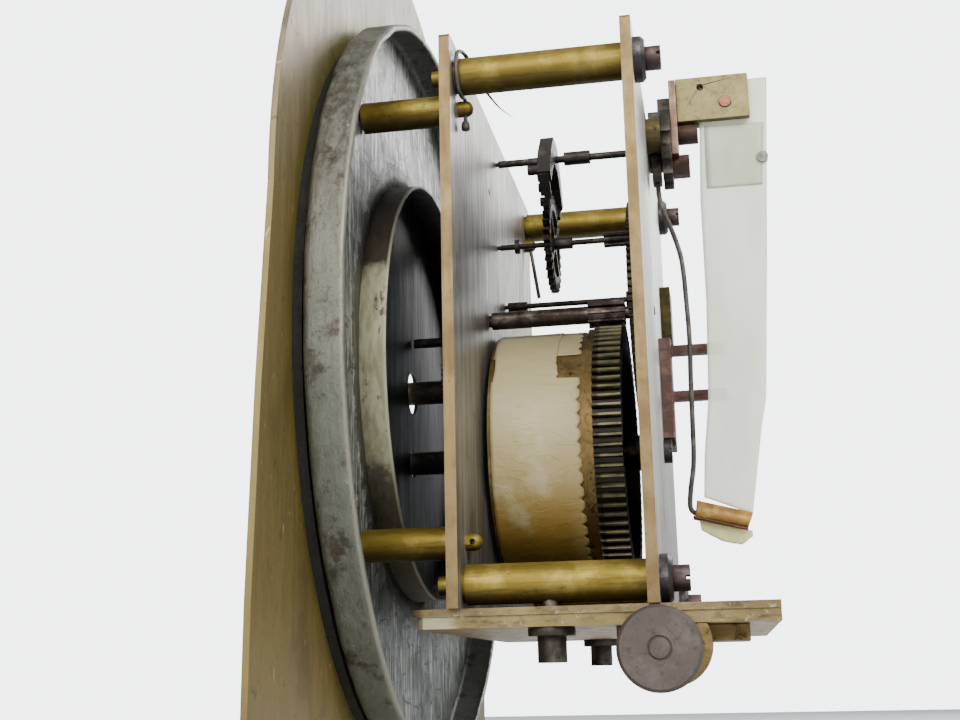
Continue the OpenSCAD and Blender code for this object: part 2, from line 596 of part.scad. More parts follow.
// Long thin leaf hanging in the block's slot, with its lower end gripped by a folded clip
leaf_outline = [[51.4, 124], [51.0, 111.3], [50.2, 94.7], [50.1, 70], [49.2, 47.4], [47.6, 34.6], [47.0, 25.6],
  [57.3, 21.2], [59.2, 32.6], [60.6, 40.8], [61.9, 46.7], [64.3, 78], [66.4, 110], [67.3, 124]];
module leaf() color("white", 0.6) difference() {
  sheet_yh(-leaf_t / 2, leaf_t) polygon(leaf_outline);
  translate([-5, 57.3, seat_t + leaf_pivot_h]) rotate([0, 90, 0]) cylinder(h = 10, r = 1.7, $fn = round_fn);
  translate([-5, 65.0, seat_t + 103.9]) rotate([0, 90, 0]) cylinder(h = 10, r = 0.8, $fn = round_fn);
}
module leaf_sleeve() color("ivory") for (x = [-leaf_t / 2 - 0.3, leaf_t / 2])
  sheet_yh(x, 0.3) polygon([[52.1, 112.6], [51.8, 97.3], [63.4, 97.3], [63.4, 112.6]]);
module leaf_rivet() color("silver") translate([0, 65.0, seat_t + 103.9]) rotate([0, 90, 0]) {
  translate([0, 0, -0.7]) cylinder(h = 1.4, r = 0.8, $fn = round_fn);
  translate([0, 0, leaf_t / 2]) cylinder(h = 0.8, r = 1.3, $fn = round_fn);
  translate([0, 0, -leaf_t / 2 - 0.8]) cylinder(h = 0.8, r = 1.3, $fn = round_fn);
}
module leaf_clip() color("peru") difference() {
  sheet_yh(-1.7, 3.4) polygon([[45.4, 24.0], [47.0, 25.6], [57.3, 21.2], [57.1, 17.7], [56.5, 15.6], [54.5, 14.6],
    [50.3, 15.6], [45.0, 18.4]]);
  translate([0, 44, seat_t + 21.9]) rotate([-90, 0, 0]) cylinder(h = 7.5, r = 0.9, $fn = round_fn);
}

// Bracket on the back plate with two square posts that limit the leaf's swing
module guard_bracket() color("saddlebrown") {
  difference() {
    sheet_xh(outer_y, 2.6) polygon([[-11, 40.5], [-12, 37.6], [0.5, 37.6], [-1.0, 40.5], [-1.0, 62.5], [-11, 62.5]]);
    rod_y(0, barrel_h, outer_y - 1, outer_y + 5, winding_r + 0.5);
  }
  for (h = [49.6, 60.4]) translate([-7.2, outer_y + 2.5, seat_t + h - 1.15]) cube([2.3, 53.6 - outer_y - 2.5, 2.3]);
}
module bushing_bar() color("olive") sheet_xh(outer_y, 2.5) translate([-36, 68]) square([12, 13.4]);

// ---- motion work ----
module centre_stud() color("silver") {
  rod_y(0, dial_h, -13, 0, stud_r);
  rod_y(0, dial_h, -0.1, inner_y, 1.0);
}
module minute_stud() color("silver") {
  rod_y(0, minute_h, -18.3, 0, 1.1);
  rod_y(0, minute_h, -0.1, inner_y, 1.0);
}
module cannon_pinion() color("darkgoldenrod") difference() {
  union() {
    gear_wheel(0, dial_h, motion_y, 1.4, drive_teeth, drive_m,
      toward(0, dial_h, centre_x, centre_h) + 180 / drive_teeth);
    gear_pinion(0, dial_h, minute_y - 0.2, 1.8, cannon_leaves, minute_m, 90 + 180 / cannon_leaves);
    rod_y(0, dial_h, minute_y - 0.3, motion_y + 0.1, pipe_r);
    rod_y(0, dial_h, -25.2, minute_y, pipe_r);
    rod_y(0, dial_h, -29.2, -25.1, hand_r);
  }
  rod_y(0, dial_h, -13.2, 0, stud_r + fit);
}
module minute_wheel() color("darkgoldenrod") difference() {
  union() {
    gear_wheel(0, minute_h, minute_y, 1.4, minute_teeth, minute_m, 90);
    gear_pinion(0, minute_h, minute_y - 3.2, 3.3, minute_leaves, hour_m, 90);
  }
  rod_y(0, minute_h, minute_y - 4, 0, 1.1 + fit);
}
module hour_wheel() color("darkgoldenrod") difference() {
  union() {
    gear_wheel(0, dial_h, minute_y - 2.6, 1.2, hour_teeth, hour_m, -90 + 180 / hour_teeth);
    rod_y(0, dial_h, -25, minute_y - 1.5, pipe_r + 0.8);
  }
  rod_y(0, dial_h, -26, 0, pipe_r + fit);
}

dial_mask();
dial_spacer_ring();
dial_plate();
dial_pan();
pan_collar();
dial_feet();
foot_taper_pins();
foot_wire_pin();
front_plate();
back_plate();
pillar_top_right();
pillar_top_left();
pillar_bottom_right();
pillar_bottom_left();
pillar_washers();
pillar_screws();
seat_plate_upper();
seat_plate_lower();
seat_lug();
seat_screws();
seat_washers();
thumb_screw();
barrel_drum();
barrel_cap();
barrel_film();
great_wheel();
mainspring();
winding_arbor();
ratchet_wheel();
click();
click_screw();
click_spring();
centre_arbor();
centre_wheel();
motion_drive_wheel();
third_arbor();
third_wheel();
escape_arbor();
escape_wheel();
pallet_arbor();
pallet_anchor();
pallet_screws();
crutch();
back_cock();
cock_posts();
cock_fasteners();
suspension_bracket();
suspension_block();
suspension_pin();
leaf();
leaf_sleeve();
leaf_rivet();
leaf_clip();
guard_bracket();
bushing_bar();
centre_stud();
minute_stud();
cannon_pinion();
minute_wheel();
hour_wheel();
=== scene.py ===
"""Looks of a pendulum clock movement on its dial pan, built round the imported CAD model. Metres, +Z up."""

import math

import bmesh
import bpy
from mathutils import Matrix, Vector, noise


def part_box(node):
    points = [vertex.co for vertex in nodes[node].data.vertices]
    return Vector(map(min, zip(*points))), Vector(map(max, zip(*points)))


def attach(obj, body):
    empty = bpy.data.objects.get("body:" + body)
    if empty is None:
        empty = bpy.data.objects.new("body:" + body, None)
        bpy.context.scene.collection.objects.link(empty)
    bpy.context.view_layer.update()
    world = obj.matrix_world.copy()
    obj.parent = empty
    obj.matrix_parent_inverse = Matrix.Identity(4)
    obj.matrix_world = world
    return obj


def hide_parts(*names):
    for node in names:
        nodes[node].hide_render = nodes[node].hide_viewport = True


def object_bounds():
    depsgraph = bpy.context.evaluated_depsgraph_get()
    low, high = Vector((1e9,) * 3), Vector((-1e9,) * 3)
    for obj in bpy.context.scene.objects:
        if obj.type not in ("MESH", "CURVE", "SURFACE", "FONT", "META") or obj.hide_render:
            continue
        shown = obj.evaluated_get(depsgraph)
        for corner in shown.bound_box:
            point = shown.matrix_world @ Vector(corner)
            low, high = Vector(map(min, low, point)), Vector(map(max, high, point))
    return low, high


MM = 0.001
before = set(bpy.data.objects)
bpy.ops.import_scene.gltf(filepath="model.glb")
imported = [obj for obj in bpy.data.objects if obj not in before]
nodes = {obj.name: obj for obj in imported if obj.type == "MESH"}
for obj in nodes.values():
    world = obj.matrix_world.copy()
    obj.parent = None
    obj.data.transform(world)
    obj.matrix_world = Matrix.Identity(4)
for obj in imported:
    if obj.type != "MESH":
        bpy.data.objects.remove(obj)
cad_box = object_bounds()


# ---- places worked out from the frame ----
def middle(node):
    """Centre of a node's box."""
    low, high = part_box(node)
    return (low + high) / 2


BARREL = middle("barrel_drum")
DIAL = middle("dial_pan")
SEAT_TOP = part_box("seat_plate_upper")[1].z
FLOOR_Z = cad_box[0][2]
FLOOR_HALF = 1.1            # half the floor's side, in metres
SEEN_STRENGTH = 5.0         # the room's brightness where the camera sees it
FELT_STRENGTH = 0.55        # the room's brightness as a light


# ---- camera ----
def photo_camera():
    """A camera low on the right-hand side, a little behind the movement, looking up at it."""
    azimuth, elevation, roll = (math.radians(a) for a in (100.17, -13.51, -1.21))
    away = Vector((math.sin(azimuth) * math.cos(elevation), -math.cos(azimuth) * math.cos(elevation),
                   math.sin(elevation)))
    right = (-away).cross(Vector((0, 0, 1))).normalized()
    up = right.cross(-away)
    side = math.cos(roll) * right + math.sin(roll) * up
    top = math.cos(roll) * up - math.sin(roll) * right
    data = bpy.data.cameras.new("photo_camera")
    data.lens = 49.62
    data.sensor_width = 36
    data.clip_start = 0.005
    camera = bpy.data.objects.new("photo_camera", data)
    camera.matrix_world = Matrix((
        (side.x, top.x, away.x, 0.29569), (side.y, top.y, away.y, 0.05036), (side.z, top.z, away.z, -0.00883),
        (0, 0, 0, 1)))
    bpy.context.scene.collection.objects.link(camera)
    bpy.context.scene.camera = camera


photo_camera()


# ---- materials ----
def srgb(text):
    """A colour written as #RRGGBB, in linear light."""
    parts = [int(text[i:i + 2], 16) / 255 for i in (1, 3, 5)]
    return tuple(((c + 0.055) / 1.055) ** 2.4 if c > 0.04045 else c / 12.92 for c in parts) + (1.0,)


class Surface:
    """One procedural material. Sizes of its patterns are in millimetres on the object."""

    def __init__(self, name, metallic=0.0):
        self.material = bpy.data.materials.new(name)
        self.material.use_nodes = True
        self.tree = self.material.node_tree
        self.shader = self.tree.nodes["Principled BSDF"]
        self.shader.inputs["Metallic"].default_value = metallic
        self.place = self.tree.nodes.new("ShaderNodeTexCoord").outputs["Object"]
        self.height = None

    def node(self, kind, values, **settings):
        """A shader node with its inputs linked or set."""
        made = self.tree.nodes.new(kind)
        for key, value in settings.items():
            setattr(made, key, value)
        for key, value in values.items():
            if isinstance(value, bpy.types.NodeSocket):
                self.tree.links.new(value, made.inputs[key])
            else:
                made.inputs[key].default_value = value
        return made

    def grain(self, size, along=(1, 1, 1), detail=5, rough=0.6, twist=0.0):
        """Cloudy noise with patches of about size mm, drawn out along an axis by the numbers in along."""
        place = self.node("ShaderNodeMapping", {"Vector": self.place, "Scale": [1 / a for a in along]})
        return self.node("ShaderNodeTexNoise", {
            "Vector": place.outputs[0], "Scale": 1000 / size, "Detail": detail, "Roughness": rough,
            "Distortion": twist}).outputs[0]

    def cells(self, size, along=(1, 1, 1)):
        """Distance to the nearest of many scattered points about size mm apart."""
        place = self.node("ShaderNodeMapping", {"Vector": self.place, "Scale": [1 / a for a in along]})
        made = self.node("ShaderNodeTexVoronoi", {"Vector": place.outputs[0], "Scale": 1000 / size})
        return made.outputs["Distance"]

    def step(self, value, low, high, to_low=0.0, to_high=1.0):
        """Smooth step of value from low to high."""
        return self.node("ShaderNodeMapRange", {
            "Value": value, "From Min": low, "From Max": high, "To Min": to_low, "To Max": to_high},
            interpolation_type="SMOOTHSTEP").outputs[0]

    def sum(self, a, b, operation="ADD"):
        """Two values joined by an arithmetic operation, a sum unless another is named."""
        return self.node("ShaderNodeMath", {0: a, 1: b}, operation=operation).outputs[0]

    def mix(self, a, b, share):
        """Colour a turning into colour b as share goes from 0 to 1."""
        return self.node("ShaderNodeMix", {0: share, 6: a, 7: b}, data_type="RGBA").outputs[2]

    def axis(self, name):
        """Place along one axis, in metres."""
        return self.node("ShaderNodeSeparateXYZ", {0: self.place}).outputs[name]

    def facing(self, name):
        """Part of the surface's direction that lies along an axis, from -1 to 1."""
        way = self.tree.nodes.new("ShaderNodeTexCoord").outputs["Normal"]
        return self.node("ShaderNodeSeparateXYZ", {0: way}).outputs[name]

    def shade_downward_faces(self, colour, dark, most=0.8):
        """Painted shade: darkens the faces that look down."""
        return self.mix(colour, srgb(dark), self.step(self.facing("Z"), 0.1, -0.85, 0, most))

    def radius(self, centre):
        """Distance in metres from an axis along Y through centre."""
        flat = self.node("ShaderNodeVectorMath", {0: self.place, 1: (1, 0, 1)}, operation="MULTIPLY").outputs[0]
        axis = (centre.x, 0, centre.z)
        arm = self.node("ShaderNodeVectorMath", {0: flat, 1: axis}, operation="SUBTRACT").outputs[0]
        return self.node("ShaderNodeVectorMath", {0: arm}, operation="LENGTH").outputs["Value"]

    def raise_by(self, value, depth):
        """Adds value times depth in millimetres to the relief."""
        part = self.sum(value, depth * MM, "MULTIPLY")
        self.height = part if self.height is None else self.sum(self.height, part)

    def done(self, colour, rough):
        """Links colour, roughness and relief, and returns the material."""
        self.tree.links.new(colour, self.shader.inputs["Base Color"])
        self.tree.links.new(rough, self.shader.inputs["Roughness"])
        if self.height is not None:
            bump = self.node("ShaderNodeBump", {"Height": self.height, "Strength": 1.0, "Distance": 1.0})
            self.tree.links.new(bump.outputs[0], self.shader.inputs["Normal"])
        return self.material


def worn_metal(name, base, pale, dark, rough=(0.35, 0.6), along=(1, 1, 1), patch=14, metallic=0.75,
               stain=None, stain_from=0.56, scratch=0.4, pits=0.4, brush=0.5, below=None):
    """Old metal: cloudy base, paler worn and darker soiled patches, stains, brushing, scratches and pits, with
    painted shade on faces that look down where below is given.
    """
    s = Surface(name, metallic)
    cloud = s.grain(patch, detail=6)
    fine = s.grain(1.6, along, detail=8, rough=0.7)
    brushing = s.grain(0.35, along, detail=3)
    colour = s.mix(srgb(base), srgb(pale), s.step(cloud, 0.45, 0.68))
    colour = s.mix(colour, srgb(dark), s.step(fine, 0.5, 0.72, 0, 0.75))
    if stain:
        spots = s.grain(patch * 0.4, detail=8, rough=0.75, twist=0.6)
        colour = s.mix(colour, srgb(stain), s.step(spots, stain_from, stain_from + 0.07, 0, 0.85))
    scratches = s.step(s.grain(0.9, [a * b for a, b in zip(along, (1.5, 6, 9))], detail=2, twist=0.4), 0.66, 0.72)
    colour = s.mix(colour, srgb(pale), s.sum(scratches, scratch, "MULTIPLY"))
    # Painted shade on the faces that look down, in the colour given as below.
    if below:
        colour = s.shade_downward_faces(colour, below)
    shade = s.sum(s.step(fine, 0.3, 0.75, *rough), s.sum(brushing, 0.12, "MULTIPLY"))
    holes = s.step(s.cells(1.9), 0.0, 0.16)
    s.raise_by(brushing, 0.03 * brush)
    s.raise_by(fine, 0.10 * brush)
    s.raise_by(holes, 0.05 * pits)
    s.raise_by(scratches, -0.02 * scratch)
    return s.done(colour, shade)


UPRIGHT = (1, 1, 14)        # brushing that runs up and down
THROUGH = (1, 12, 1)        # brushing that runs along Y
EVEN = (1, 1, 1)

looks = {
    "pillar_brass": worn_metal("pillar_brass", "#7C6A26", "#A08C42", "#4A3C14", (0.34, 0.56), THROUGH, 7,
                               stain="#3C3214", stain_from=0.6, pits=1.2, brush=0.6, below="#2A220C"),
    "dark_brass": worn_metal("dark_brass", "#4C4426", "#6A6038", "#2A2412", (0.36, 0.58), THROUGH, 6,
                             stain="#2C2416", pits=0.8, below="#1C170C"),
    "lug_brass": worn_metal("lug_brass", "#6E5A36", "#8C774E", "#46371F", (0.4, 0.6), THROUGH, 6,
                            stain="#3C2E1A", pits=0.8, below="#2E2413"),
    "wheel_brass": worn_metal("wheel_brass", "#6A5630", "#8C7648", "#3C2F18", (0.32, 0.55), EVEN, 9,
                              stain="#33270F", pits=0.5),
    "dark_wheel": worn_metal("dark_wheel", "#2E2920", "#4C4638", "#171410", (0.34, 0.58), EVEN, 7,
                             stain="#1C150E", pits=0.5),
    "dark_steel": worn_metal("dark_steel", "#36312C", "#5C554C", "#1D1A17", (0.34, 0.58), EVEN, 5,
                             stain="#40291C", stain_from=0.6, pits=0.8, below="#161310"),
    "crutch_steel": worn_metal("crutch_steel", "#3E3A36", "#5E5A54", "#262320", (0.4, 0.6), EVEN, 5, metallic=0.5),
    "washer_steel": worn_metal("washer_steel", "#3A3738", "#6E6A6C", "#201D1D", (0.3, 0.5), EVEN, 5,
                               stain="#2C2422", pits=0.8, below="#1C1918"),
    "bright_steel": worn_metal("bright_steel", "#777572", "#A5A4A1", "#45423E", (0.25, 0.48), UPRIGHT, 6,
                               stain="#4C4034", stain_from=0.62),
    "anchor_steel": worn_metal("anchor_steel", "#3C3833", "#5A564F", "#24211D", (0.38, 0.6), EVEN, 6,
                               stain="#2C231B", below="#191613"),
    "screw_steel": worn_metal("screw_steel", "#463936", "#6C5C58", "#281E1B", (0.38, 0.62), EVEN, 4,
                              metallic=0.6, stain="#4A2E24", stain_from=0.58, pits=1.2, below="#211817"),
    "nut_steel": worn_metal("nut_steel", "#3C2A21", "#5E463A", "#20150F", (0.42, 0.65), EVEN, 4, metallic=0.5,
                            stain="#4A2A1A", stain_from=0.56, pits=1.3, below="#1E130D"),
    "post_steel": worn_metal("post_steel", "#4C3630", "#6C5248", "#2E1F1A", (0.42, 0.65), THROUGH, 4,
                             metallic=0.5, stain="#5A3626", pits=1.0, below="#2A1C17"),
    "arbor_steel": worn_metal("arbor_steel", "#33271F", "#756C64", "#1B1410", (0.28, 0.5), THROUGH, 5,
                              stain="#4C3A2E", stain_from=0.57, scratch=0.8, pits=1.0, below="#150F0B"),
    "bracket_brass": worn_metal("bracket_brass", "#755B4A", "#97806C", "#4C382C", (0.36, 0.55), UPRIGHT, 5,
                                stain="#5A4034", pits=0.5, below="#3C2C22"),
    "rivet_steel": worn_metal("rivet_steel", "#6C6B66", "#94938D", "#403E3A", (0.3, 0.5), EVEN, 2),
    "knob_steel": worn_metal("knob_steel", "#4A433D", "#5E564F", "#352F2A", (0.42, 0.62), EVEN, 9, metallic=0.5,
                             stain="#4E3D34", stain_from=0.6, scratch=0.6, pits=0.8, below="#3A302B"),
    "copper_pin": worn_metal("copper_pin", "#96604A", "#AE7A62", "#663E2C", (0.34, 0.52), EVEN, 2, metallic=0.6),
    # Near-black ring between pan and mask: painted shade standing in for the shadow in that gap.
    "gap_shadow_black": worn_metal("gap_shadow_black", "#0E0D0A", "#1B1A17", "#070605", (0.5, 0.75), EVEN, 10, metallic=0.2,
                            pits=0.6),
    "dial_back": worn_metal("dial_back", "#0F0E0C", "#2A2825", "#080706", (0.3, 0.5), UPRIGHT, 16, metallic=0.7,
                            scratch=0.3),
    "block_brass": worn_metal("block_brass", "#857B50", "#948A5C", "#625834", (0.38, 0.58), EVEN, 7, metallic=0.6,
                              stain="#5E5330", stain_from=0.62, scratch=0.2, pits=0.5, below="#3E371F"),
    "clip": worn_metal("clip_brass", "#8E6A30", "#B8944E", "#5A3C18", (0.34, 0.55), (1, 4, 1), 4, metallic=0.45,
                       stain="#54300F", stain_from=0.58, below="#4C3010"),
    "seam": worn_metal("clip_seam", "#4A2414", "#6A3A24", "#28120A", (0.4, 0.6), EVEN, 3, metallic=0.2),
}


def plate_look():
    """Plates: tan edges, a grey brushed front inside, and a streaked back face painted paler as painted light, all
    with old stains.
    """
    s = Surface("plate_brass", 0.7)
    cloud = s.grain(12, detail=6)
    fine = s.grain(1.2, (1, 1, 10), detail=7, rough=0.7)
    streaks = s.step(s.grain(1.5, (1, 1, 22), detail=5, rough=0.65), 0.42, 0.66)
    edge = s.mix(srgb("#6E5A38"), srgb("#86724C"), s.step(cloud, 0.4, 0.6))
    edge = s.mix(edge, srgb("#6B5338"), s.step(s.grain(5, detail=8, rough=0.75), 0.55, 0.68, 0, 0.8))
    inside = s.mix(srgb("#6C6963"), srgb("#97958F"), streaks)
    inside = s.mix(inside, srgb("#57503F"), s.step(cloud, 0.52, 0.68, 0, 0.7))
    # Painted light: the back plate's outer face is coloured paler because that face is lit.
    lit_back_face = s.mix(srgb("#9A9893"), srgb("#CFCECB"), streaks)
    lit_back_face = s.mix(lit_back_face, srgb("#6C675C"), s.step(fine, 0.58, 0.74, 0, 0.7))
    rear = s.step(s.axis("Y"), 0.030, 0.032)
    face = s.mix(inside, lit_back_face, rear)
    on_face = s.step(s.facing("Y"), 0.45, 0.8)
    on_front = s.step(s.facing("Y"), -0.45, -0.8)
    colour = s.mix(edge, face, on_face)
    colour = s.mix(colour, inside, on_front)
    spots = s.step(s.grain(2.4, detail=6, rough=0.8, twist=0.5), 0.655, 0.69, 0, 0.75)
    colour = s.mix(colour, srgb("#3C3428"), spots)
    s.raise_by(fine, 0.07)
    s.raise_by(streaks, 0.02)
    s.raise_by(spots, -0.03)
    return s.done(colour, s.step(fine, 0.3, 0.75, 0.34, 0.55))


def seat_look():
    """Seat plate: stained brass edges, a dull underside, and a painted highlight, a pale patch, at the front
    corner.
    """
    s = Surface("seat_brass", 0.65)
    cloud = s.grain(8, (1, 2, 1), detail=7, rough=0.65)
    fine = s.grain(1.4, (6, 3, 1), detail=7, rough=0.7)
    colour = s.mix(srgb("#6F6142"), srgb("#8A7A55"), s.step(cloud, 0.42, 0.62))
    colour = s.mix(colour, srgb("#463C27"), s.step(fine, 0.5, 0.7, 0, 0.75))
    lower = s.step(s.axis("Z"), 0.0024, 0.0020)
    colour = s.mix(colour, srgb("#83703F"), s.sum(lower, s.step(fine, 0.6, 0.4, 0, 0.55), "MULTIPLY"))
    # Painted highlight: a pale patch on the lower layer's front end.
    front_highlight = s.sum(s.axis("Y"), s.sum(cloud, 0.012, "MULTIPLY"))
    front_highlight = s.sum(s.step(front_highlight, 0.0075, 0.0050), lower, "MULTIPLY")
    front_highlight = s.sum(front_highlight, s.step(s.facing("Z"), -0.6, -0.3), "MULTIPLY")
    colour = s.mix(colour, srgb("#A9A384"), s.sum(front_highlight, 0.85, "MULTIPLY"))
    scratches = s.step(s.grain(1.0, (5, 1, 1), detail=2, twist=0.5), 0.64, 0.7)
    colour = s.mix(colour, srgb("#A39B84"), s.sum(scratches, 0.6, "MULTIPLY"))
    s.raise_by(cloud, 0.12)
    s.raise_by(fine, 0.10)
    s.raise_by(scratches, -0.02)
    return s.done(colour, s.step(fine, 0.3, 0.75, 0.4, 0.62))


def mask_look():
    """Rolled brass sheet: greyed at the top, brown at the edge, olive in a band round the dial, with stains."""
    s = Surface("mask_sheet", 0.6)
    cloud = s.grain(26, (1, 1, 2), detail=7)
    fine = s.grain(2.2, (1, 1, 7), detail=8, rough=0.7)
    rise = s.step(s.axis("Z"), 0.06, 0.15)
    colour = s.mix(srgb("#75663C"), srgb("#8E887A"), rise)
    colour = s.mix(colour, srgb("#5A4E2C"), s.step(cloud, 0.48, 0.64, 0, 0.75))
    colour = s.mix(colour, srgb("#9C9686"), s.sum(s.step(fine, 0.5, 0.66, 0, 0.6), rise, "MULTIPLY"))
    near_dial = s.step(s.radius(DIAL), 0.0795, 0.0885, 1, 0)
    colour = s.mix(colour, srgb("#6A6020"), s.sum(near_dial, s.step(fine, 0.15, 0.5, 0, 0.95), "MULTIPLY"))
    stains = s.step(s.grain(6, detail=9, rough=0.8, twist=0.8), 0.59, 0.64, 0, 0.65)
    colour = s.mix(colour, srgb("#40371F"), stains)
    nicks = s.step(s.grain(1.0, (1, 3, 5), detail=2, twist=0.3), 0.70, 0.73)
    colour = s.mix(colour, srgb("#B9B294"), s.sum(nicks, 0.5, "MULTIPLY"))
    s.raise_by(fine, 0.08)
    s.raise_by(cloud, 0.5)
    s.raise_by(nicks, -0.03)
    return s.done(colour, s.step(fine, 0.3, 0.8, 0.42, 0.64))


def pan_look():
    """Tinned sheet: a mottled grey-green and brown wall, a silver floor with slanting scrapes, a painted highlight
    on the near side of the floor by the wall, and the floor near the collar darker as peeled coat and painted
    shade.
    """
    s = Surface("pan_sheet", 0.6)
    radius = s.radius(DIAL)
    cloud = s.grain(9, detail=8, rough=0.7)
    fine = s.grain(1.6, (1, 1, 5), detail=7, rough=0.7)
    floor = s.mix(srgb("#50534F"), srgb("#7C7F7A"), s.step(cloud, 0.4, 0.6))
    streaks = s.step(s.grain(1.0, (1, 1, 9), detail=5, twist=0.3), 0.52, 0.64)
    floor = s.mix(floor, srgb("#C4C6C2"), s.sum(streaks, 0.75, "MULTIPLY"))
    slanting = s.step(s.grain(1.4, (5, 1, 2.5), detail=5, rough=0.7, twist=1.2), 0.56, 0.62)
    floor = s.mix(floor, srgb("#30312C"), s.sum(slanting, 0.75, "MULTIPLY"))
    # The floor inside about 60 mm is darker: a peeled coat with a torn edge, and painted shade of the pan's inner
    # floor.
    torn = s.sum(radius, s.sum(s.grain(6, detail=9, rough=0.8), 0.016, "MULTIPLY"))
    peel_and_shade = s.step(torn, 0.0602, 0.0606, 1, 0)
    floor = s.mix(floor, srgb("#3C3A31"), s.sum(peel_and_shade, 0.85, "MULTIPLY"))
    # Painted highlight: a pale band on the floor by the wall's foot, on the near side only.
    near_side_highlight = s.sum(s.step(radius, 0.0735, 0.0745), s.step(s.axis("X"), 0.02, 0.05), "MULTIPLY")
    floor = s.mix(floor, srgb("#B4B8B2"), s.sum(near_side_highlight, s.step(fine, 0.35, 0.6, 0, 0.8), "MULTIPLY"))
    wall = s.mix(srgb("#4F4D42"), srgb("#6C6E63"), s.step(fine, 0.38, 0.66))
    low = s.step(s.axis("Z"), 0.085, 0.035)
    wall = s.mix(wall, srgb("#62665D"), s.sum(low, 0.65, "MULTIPLY"))
    wall = s.mix(wall, srgb("#352B1F"), s.step(s.grain(6, detail=6, rough=0.65), 0.53, 0.66, 0, 0.8))
    bright = s.grain(2.4, (1, 1, 2), detail=6, rough=0.7, twist=1.4)
    wall = s.mix(wall, srgb("#A8A698"), s.step(bright, 0.66, 0.70, 0, 0.7))
    on_wall = s.step(radius, 0.0822, 0.0828)
    colour = s.mix(floor, wall, on_wall)
    rim = s.step(s.axis("Y"), -0.0124, -0.0119)
    colour = s.mix(colour, srgb("#7E7B6E"), s.sum(s.sum(rim, on_wall, "MULTIPLY"), 0.8, "MULTIPLY"))
    s.raise_by(cloud, 0.4)
    s.raise_by(fine, 0.12)
    s.raise_by(peel_and_shade, -0.06)
    s.raise_by(slanting, -0.03)
    return s.done(colour, s.step(fine, 0.3, 0.75, 0.36, 0.6))


def collar_look():
    """Collar of the pan: painted shade, dark brown, over the top, pale and flaking from the middle down, a
    near-black inner face as painted shade, and a painted highlight along the rear edge.
    """
    s = Surface("collar_sheet", 0.45)
    fine = s.grain(1.8, (1, 1, 4), detail=7, rough=0.7)
    patchy = s.sum(s.axis("Z"), s.sum(s.grain(9, detail=8, rough=0.7), 0.03, "MULTIPLY"))
    colour = s.mix(srgb("#8C8A6C"), srgb("#A5A387"), s.step(fine, 0.4, 0.62))
    # Painted shade: the top of the collar is darkened to dark brown; the next line makes it darker towards the
    # bottom.
    colour = s.mix(colour, srgb("#2A2118"), s.step(patchy, DIAL.z + 0.028, DIAL.z + 0.036, 0, 0.95))
    colour = s.mix(colour, srgb("#38332A"), s.step(patchy, DIAL.z - 0.006, DIAL.z - 0.012, 0, 0.8))
    flakes = s.step(s.grain(3.0, (1, 1, 2), detail=7, rough=0.75, twist=0.6), 0.60, 0.62)
    colour = s.mix(colour, srgb("#4A4536"), s.sum(flakes, 0.9, "MULTIPLY"))
    # Painted shade: the inner face of the collar is near-black.
    inner = s.step(s.radius(DIAL), 0.04765, 0.0474)
    colour = s.mix(colour, srgb("#14110D"), inner)
    # Painted highlight: a pale band along the collar's rear edge.
    lip = s.step(s.axis("Y"), DIAL.y + 0.00140, DIAL.y + 0.00185)
    colour = s.mix(colour, srgb("#B6B49A"), s.sum(s.sum(lip, 0.6, "MULTIPLY"), s.step(inner, 1, 0), "MULTIPLY"))
    s.raise_by(fine, 0.08)
    s.raise_by(flakes, -0.06)
    return s.done(colour, s.step(fine, 0.3, 0.75, 0.42, 0.65))


def great_wheel_look():
    """Dark bronze with worn tooth tips, and painted shade in the gaps between the teeth and on the wheel's front
    part.
    """
    s = Surface("great_wheel_bronze", 0.7)
    fine = s.grain(1.2, (1, 4, 1), detail=7, rough=0.7)
    colour = s.mix(srgb("#3A3627"), srgb("#5C573F"), s.step(fine, 0.42, 0.65))
    # Painted shade: the tooth gaps are darkened.
    tooth_gap_shade = s.step(s.radius(BARREL), 0.0288, 0.0293, 1, 0)
    colour = s.mix(colour, srgb("#14110B"), s.sum(tooth_gap_shade, 0.9, "MULTIPLY"))
    tip = s.step(s.radius(BARREL), 0.0295, 0.0299)
    colour = s.mix(colour, srgb("#777153"), s.sum(tip, s.step(fine, 0.3, 0.6, 0, 0.9), "MULTIPLY"))
    # Painted shade: the part of the wheel towards the front is darkened.
    front = s.step(s.axis("Y"), 0.0272, 0.0266)
    colour = s.mix(colour, srgb("#1E1A12"), s.sum(front, 0.75, "MULTIPLY"))
    s.raise_by(fine, 0.10)
    return s.done(colour, s.step(fine, 0.3, 0.75, 0.32, 0.56))


